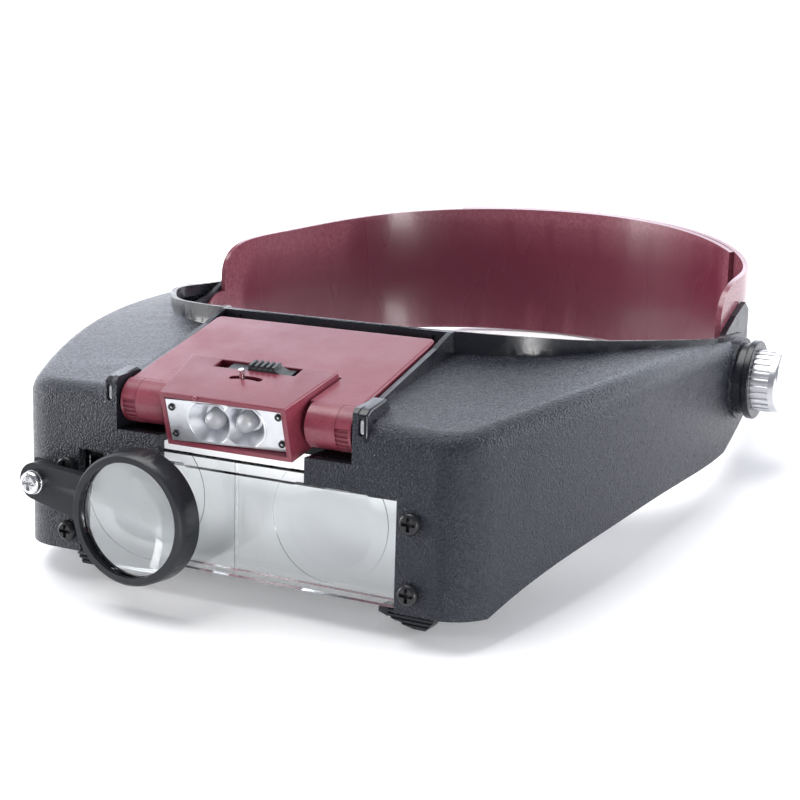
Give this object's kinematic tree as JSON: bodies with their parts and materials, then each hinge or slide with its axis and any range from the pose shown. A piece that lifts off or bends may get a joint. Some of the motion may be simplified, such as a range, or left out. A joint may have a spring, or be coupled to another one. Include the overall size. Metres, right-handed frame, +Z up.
{
  "type": "head visor magnifier",
  "caption": "Black visor worn on the head with flip lens plates, a swing-out round loupe, a red tilting lamp unit and a red head strap.",
  "frame": {"origin": "middle of the footprint, on the table", "axes": "+X to the right seen from the front, +Y from the front of the visor back to the strap, +Z up"},
  "size_m": [0.205, 0.2298, 0.0564],
  "materials": {
    "black_visor": "fine leather grain",
    "black_moulding": "satin",
    "clear_lens": "polished",
    "black_screw": "blacked",
    "bright_steel": "bright",
    "silver_knob": "turned and plated",
    "red_body": "satin",
    "red_strap": "glossy",
    "reflector": "metallised",
    "led": "clear",
    "board": "solder mask",
    "cell": "sleeved",
    "pad": "brushed cloth over foam",
    "stud": "press stud"
  },
  "bodies": {
    "head_strap": {"strap_left": "red_strap", "strap_right": "red_strap", "strap_studs": "stud", "forehead_bow": "black_moulding", "forehead_pad": "pad", "pivot_stud_left": "bright_steel", "pivot_stud_right": "bright_steel", "pivot_washer_left": "black_moulding", "pivot_washer_right": "black_moulding"},
    "visor": {"visor_shell": "black_visor", "front_lens_left": "clear_lens", "front_lens_right": "clear_lens", "lens_strip_left": "black_moulding", "lens_strip_right": "black_moulding", "lens_screws": "black_screw", "flip_bracket_left": "black_moulding", "flip_bracket_right": "black_moulding", "loupe_bracket": "black_moulding", "loupe_screw": "bright_steel", "loupe_washer": "bright_steel", "hub_disc_left": "black_moulding", "hub_disc_right": "black_moulding", "lamp_pivot_pins": "bright_steel"},
    "flip_lens_body": {"flip_lens": "clear_lens", "flip_frame_left": "black_moulding", "flip_frame_right": "black_moulding", "flip_pins": "bright_steel"},
    "loupe": {"loupe_ring": "black_moulding", "loupe_lens": "clear_lens", "loupe_retainer": "black_moulding"},
    "lamp": {"lamp_housing": "red_body", "lamp_hood": "red_body", "barrel_collar_left": "red_body", "barrel_collar_right": "red_body", "battery_front": "cell", "battery_rear": "cell", "contact_plates": "bright_steel", "contact_springs": "bright_steel", "cover_pins": "bright_steel", "switch_body": "black_moulding"},
    "cover": {"battery_cover": "red_body"},
    "switch": {"switch_slider": "black_moulding"},
    "aimed_lamps": {"reflector": "reflector", "led_left": "led", "led_right": "led", "led_board": "board", "aim_carrier": "black_moulding", "aim_lever": "bright_steel"},
    "clamp_left": {"knob_washer_left": "black_moulding"},
    "clamp_right": {"knob_washer_right": "black_moulding"},
    "knob_left": {"clamp_knob_left": "silver_knob"},
    "knob_right": {"clamp_knob_right": "silver_knob"}
  },
  "joints": [
    {"name": "visor_tilt", "type": "hinge", "parent": "head_strap", "child": "visor", "pos_m": [0, 0.02191, 0.02452], "axis": [-1, 0, 0], "range_deg": [0, 75]},
    {"name": "flip_lens_swing", "type": "hinge", "parent": "visor", "child": "flip_lens_body", "pos_m": [0, -0.08682, 0.0325], "axis": [1, 0, 0], "range_deg": [0, 90]},
    {"name": "loupe_swing", "type": "hinge", "parent": "visor", "child": "loupe", "pos_m": [-0.0536, -0.1052, 0.02783], "axis": [0, -0.978, 0.2088], "range_deg": [0, 170]},
    {"name": "lamp_tilt", "type": "hinge", "parent": "visor", "child": "lamp", "pos_m": [0, -0.08874, 0.0465], "axis": [1, 0, 0], "range_deg": [0, 24]},
    {"name": "battery_cover_hinge", "type": "hinge", "parent": "lamp", "child": "cover", "pos_m": [0, -0.05023, 0.05227], "axis": [-1, 0, 0], "range_deg": [0, 90]},
    {"name": "switch_slide", "type": "slide", "parent": "lamp", "child": "switch", "axis": [1, 0, 0], "range_m": [-0.0025, 0]},
    {"name": "lamp_aim", "type": "hinge", "parent": "lamp", "child": "aimed_lamps", "pos_m": [0, -0.09673, 0.046], "axis": [0, -0.0637, 0.998], "range_deg": [-20, 11]},
    {"name": "clamp_slide_left", "type": "slide", "parent": "head_strap", "child": "clamp_left", "axis": [-1, 0, 0], "range_m": [0, 0.0007]},
    {"name": "knob_turn_left", "type": "hinge", "parent": "clamp_left", "child": "knob_left", "pos_m": [-0.098, 0.02191, 0.02452], "axis": [-1, 0, 0], "range_deg": [0, 360]},
    {"name": "clamp_slide_right", "type": "slide", "parent": "head_strap", "child": "clamp_right", "axis": [1, 0, 0], "range_m": [0, 0.0007]},
    {"name": "knob_turn_right", "type": "hinge", "parent": "clamp_right", "child": "knob_right", "pos_m": [0.098, 0.02191, 0.02452], "axis": [1, 0, 0], "range_deg": [0, 360]}
  ],
  "couplings": [
    {"joint": "knob_turn_left", "follows": "clamp_slide_left", "rad_per_m": 8976},
    {"joint": "knob_turn_right", "follows": "clamp_slide_right", "rad_per_m": 8976}
  ]
}
